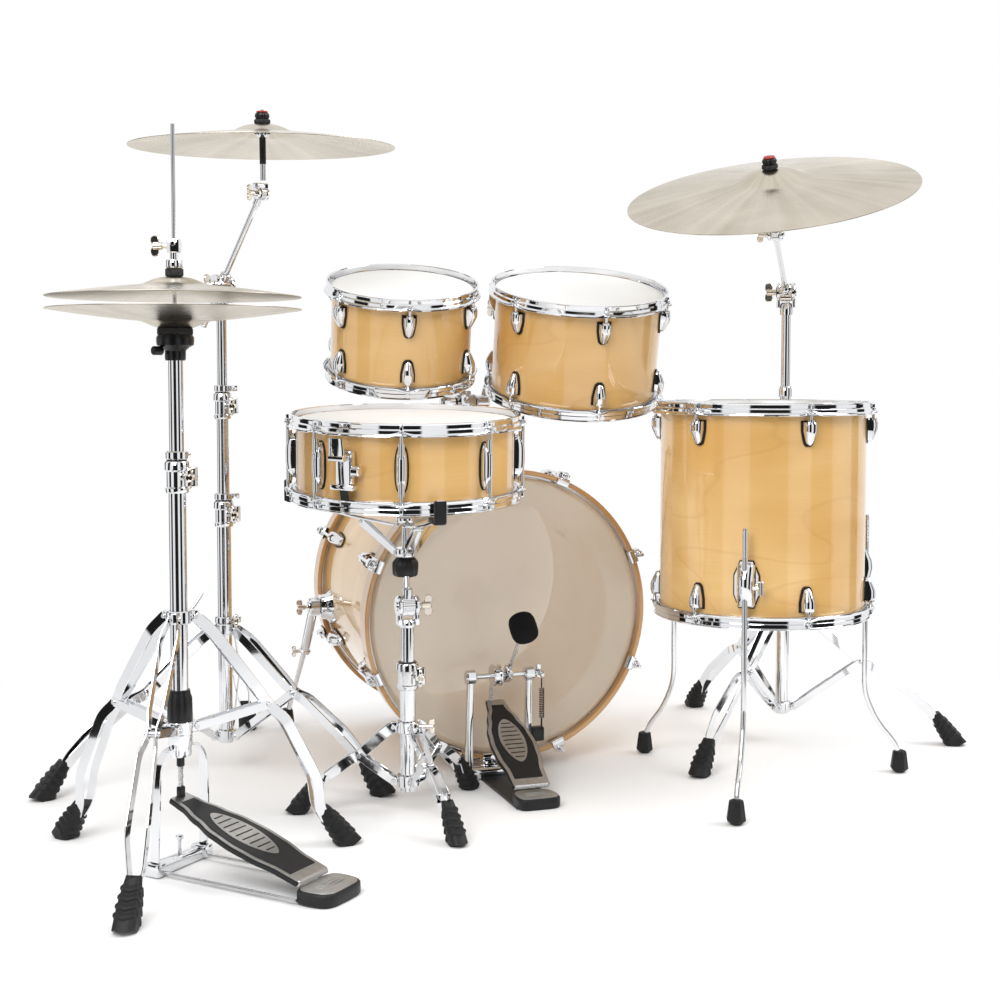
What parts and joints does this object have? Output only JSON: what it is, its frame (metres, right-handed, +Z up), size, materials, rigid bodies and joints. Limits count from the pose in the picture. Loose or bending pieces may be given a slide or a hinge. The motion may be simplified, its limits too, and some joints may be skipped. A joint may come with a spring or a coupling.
{
  "type": "acoustic drum kit",
  "caption": "Acoustic drum kit of maple drums with chrome hardware: bass, rack toms, floor tom, snare, and hi-hat, crash and ride cymbals on tripod stands.",
  "frame": {"origin": "on the floor, under the middle of the kit's bounding box", "axes": "+Z up, +Y from the drummer to the audience, +X to the drummer's right"},
  "size_m": [1.7492, 1.121, 1.1791],
  "materials": {
    "maple_shell": "natural maple under clear gloss lacquer",
    "maple_hoop": "natural maple under clear gloss lacquer",
    "chrome_hoop": "polished chrome",
    "chrome": "polished chrome on tubes, clamps and castings",
    "coated_head": "white coated drum film",
    "clear_head": "clear drum film, glossy",
    "cymbal_bronze": "lathed bronze with fine concentric grooves",
    "footboard": "cast footboard, silver and black",
    "beater": "steel shaft and cam with a black felt head",
    "snare_wire": "coiled steel wires",
    "steel_parts": "bright steel chain and spring",
    "black_rubber": "ribbed black rubber feet and sleeves",
    "grey_felt": "dense wool felt washers",
    "black_plastic": "moulded black plastic"
  },
  "bodies": {
    "kit_base": {"bass_drum_shell": "maple_shell", "bass_drum_batter_hoop": "maple_hoop", "bass_drum_batter_head": "clear_head", "bass_drum_reso_hoop": "maple_hoop", "bass_drum_reso_head": "coated_head", "floor_tom_shell": "maple_shell", "floor_tom_batter_hoop": "chrome_hoop", "floor_tom_batter_head": "coated_head", "floor_tom_reso_hoop": "chrome_hoop", "floor_tom_reso_head": "clear_head", "bass_pedal_frame": "chrome", "bass_pedal_spring": "steel_parts", "snare_stand_base": "chrome", "hihat_base": "chrome", "crash_stand_base": "chrome", "ride_stand_base": "chrome"},
    "spur_left": {"bass_drum_spur_left": "chrome"},
    "spur_right": {"bass_drum_spur_right": "chrome"},
    "tom_post": {"tom_holder_post": "chrome"},
    "small_tom": {"small_tom_shell": "maple_shell", "small_tom_batter_hoop": "chrome_hoop", "small_tom_batter_head": "coated_head", "small_tom_reso_hoop": "chrome_hoop", "small_tom_reso_head": "clear_head", "tom_holder_arm_left": "chrome"},
    "large_tom": {"large_tom_shell": "maple_shell", "large_tom_batter_hoop": "chrome_hoop", "large_tom_batter_head": "coated_head", "large_tom_reso_hoop": "chrome_hoop", "large_tom_reso_head": "clear_head", "tom_holder_arm_right": "chrome"},
    "floor_leg_1": {"floor_tom_leg_1": "chrome"},
    "floor_leg_2": {"floor_tom_leg_2": "chrome"},
    "floor_leg_3": {"floor_tom_leg_3": "chrome"},
    "snare_tube": {"snare_stand_upper_tube": "chrome"},
    "snare": {"snare_basket": "chrome", "snare_wires": "snare_wire", "snare_drum_shell": "maple_shell", "snare_drum_batter_hoop": "chrome_hoop", "snare_drum_batter_head": "coated_head", "snare_drum_reso_hoop": "chrome_hoop", "snare_drum_reso_head": "clear_head"},
    "strainer_lever": {"snare_strainer_lever": "chrome"},
    "bass_footboard": {"bass_pedal_footboard": "footboard"},
    "bass_beater": {"bass_pedal_beater": "beater"},
    "bass_chain": {"bass_pedal_chain": "steel_parts"},
    "hihat_tube": {"hihat_upper_tube": "chrome"},
    "hihat_bottom": {"hihat_bottom_cymbal": "cymbal_bronze"},
    "hihat_rod": {"hihat_pull_rod": "chrome"},
    "hihat_top": {"hihat_top_cymbal": "cymbal_bronze"},
    "hihat_pedal": {"hihat_footboard": "footboard"},
    "crash_middle": {"crash_stand_middle_tube": "chrome"},
    "crash_upper": {"crash_stand_upper_tube": "chrome"},
    "crash_boom": {"crash_boom_arm": "chrome"},
    "crash_tilter": {"crash_cymbal_tilter": "chrome"},
    "crash_plate": {"crash_cymbal": "cymbal_bronze"},
    "ride_upper": {"ride_stand_upper_tube": "chrome"},
    "ride_boom": {"ride_boom_arm": "chrome"},
    "ride_tilter": {"ride_cymbal_tilter": "chrome"},
    "ride_plate": {"ride_cymbal": "cymbal_bronze"}
  },
  "joints": [
    {"name": "spur_left_fold", "type": "hinge", "parent": "kit_base", "child": "spur_left", "pos_m": [-0.3165, 0.41615, 0.262], "axis": [1, 0, 0], "range_deg": [0, 75]},
    {"name": "spur_right_fold", "type": "hinge", "parent": "kit_base", "child": "spur_right", "pos_m": [0.2455, 0.41615, 0.262], "axis": [1, 0, 0], "range_deg": [0, 75]},
    {"name": "tom_post_height", "type": "slide", "parent": "kit_base", "child": "tom_post", "axis": [0, 0, 1], "range_m": [0, 0.06]},
    {"name": "small_tom_tilt", "type": "hinge", "parent": "tom_post", "child": "small_tom", "pos_m": [-0.0975, 0.24015, 0.668], "axis": [1, 0, 0], "range_deg": [-12, 0]},
    {"name": "large_tom_tilt", "type": "hinge", "parent": "tom_post", "child": "large_tom", "pos_m": [-0.0295, 0.24015, 0.668], "axis": [1, 0, 0], "range_deg": [-10, 6]},
    {"name": "floor_leg_1_height", "type": "slide", "parent": "kit_base", "child": "floor_leg_1", "axis": [0, 0, 1], "range_m": [0, 0.12]},
    {"name": "floor_leg_2_height", "type": "slide", "parent": "kit_base", "child": "floor_leg_2", "axis": [0, 0, 1], "range_m": [0, 0.12]},
    {"name": "floor_leg_3_height", "type": "slide", "parent": "kit_base", "child": "floor_leg_3", "axis": [0, 0, 1], "range_m": [0, 0.12]},
    {"name": "snare_stand_height", "type": "slide", "parent": "kit_base", "child": "snare_tube", "axis": [0, 0, 1], "range_m": [-0.055, 0]},
    {"name": "snare_tilt", "type": "hinge", "parent": "snare_tube", "child": "snare", "pos_m": [-0.2835, -0.14785, 0.345], "axis": [1, 0, 0], "range_deg": [0, 8]},
    {"name": "strainer_throw", "type": "hinge", "parent": "snare", "child": "strainer_lever", "pos_m": [-0.42944, -0.28403, 0.59696], "axis": [0.7193, -0.6938, -0.0351], "range_deg": [0, 75]},
    {"name": "bass_footboard_press", "type": "hinge", "parent": "kit_base", "child": "bass_footboard", "pos_m": [-0.0675, -0.14585, 0.0275], "axis": [1, 0, 0], "range_deg": [-12, 0], "stiffness_Nm_per_rad": 6, "springref_deg": 20.05},
    {"name": "bass_beater_strike", "type": "hinge", "parent": "kit_base", "child": "bass_beater", "pos_m": [-0.0675, 0.01915, 0.185], "axis": [1, 0, 0], "range_deg": [-50, 0], "deforming": ["bass_pedal_spring"]},
    {"name": "bass_chain_pull", "type": "slide", "parent": "kit_base", "child": "bass_chain", "axis": [0, 0, 1], "range_m": [-0.04, 0]},
    {"name": "hihat_height", "type": "slide", "parent": "kit_base", "child": "hihat_tube", "axis": [0, 0, 1], "range_m": [0, 0.08]},
    {"name": "hihat_bottom_spin", "type": "hinge", "parent": "hihat_tube", "child": "hihat_bottom", "pos_m": [-0.6685, -0.29785, 0.816], "axis": [0, 0, 1], "continuous": true},
    {"name": "hihat_rod_travel", "type": "slide", "parent": "hihat_tube", "child": "hihat_rod", "axis": [0, 0, 1], "range_m": [-0.015, 0], "stiffness_N_per_m": 80, "springref_m": 0.21},
    {"name": "hihat_top_spin", "type": "hinge", "parent": "hihat_rod", "child": "hihat_top", "pos_m": [-0.6685, -0.29785, 0.835], "axis": [0, 0, 1], "continuous": true},
    {"name": "hihat_pedal_press", "type": "hinge", "parent": "kit_base", "child": "hihat_pedal", "pos_m": [-0.51058, -0.47323, 0.0245], "axis": [0.7431, 0.6691, 0], "range_deg": [-3.7, 0]},
    {"name": "crash_middle_height", "type": "slide", "parent": "kit_base", "child": "crash_middle", "axis": [0, 0, 1], "range_m": [-0.025, 0.12]},
    {"name": "crash_upper_height", "type": "slide", "parent": "crash_middle", "child": "crash_upper", "axis": [0, 0, 1], "range_m": [-0.08, 0.08]},
    {"name": "ride_upper_height", "type": "slide", "parent": "kit_base", "child": "ride_upper", "axis": [0, 0, 1], "range_m": [0, 0.1]},
    {"name": "crash_boom_swing", "type": "hinge", "parent": "crash_upper", "child": "crash_boom", "pos_m": [-0.5265, 0.21515, 0.88], "axis": [0.8311, 0.5561, 0], "range_deg": [0, 20]},
    {"name": "crash_cymbal_tilt", "type": "hinge", "parent": "crash_boom", "child": "crash_tilter", "pos_m": [-0.46921, 0.12954, 1.03507], "axis": [0.8311, 0.5561, 0], "range_deg": [-20, 12]},
    {"name": "crash_cymbal_spin", "type": "hinge", "parent": "crash_tilter", "child": "crash_plate", "pos_m": [-0.4665, 0.12115, 1.115], "axis": [-0.014, -0.041, 0.9991], "continuous": true},
    {"name": "ride_boom_swing", "type": "hinge", "parent": "ride_upper", "child": "ride_boom", "pos_m": [0.5465, 0.10015, 0.88], "axis": [0.8296, -0.5583, 0], "range_deg": [-25, 5]},
    {"name": "ride_cymbal_tilt", "type": "hinge", "parent": "ride_boom", "child": "ride_tilter", "pos_m": [0.4058, -0.10892, 0.96965], "axis": [0.8296, -0.5583, 0], "range_deg": [-9, 12]},
    {"name": "ride_cymbal_spin", "type": "hinge", "parent": "ride_tilter", "child": "ride_plate", "pos_m": [0.3825, -0.13685, 1.039], "axis": [-0.2426, -0.265, 0.9332], "continuous": true}
  ],
  "couplings": [
    {"joint": "bass_beater_strike", "follows": "bass_footboard_press", "ratio": 4.1666},
    {"joint": "bass_chain_pull", "follows": "bass_footboard_press", "m_per_rad": 0.19},
    {"joint": "hihat_rod_travel", "follows": "hihat_pedal_press", "m_per_rad": 0.232}
  ]
}
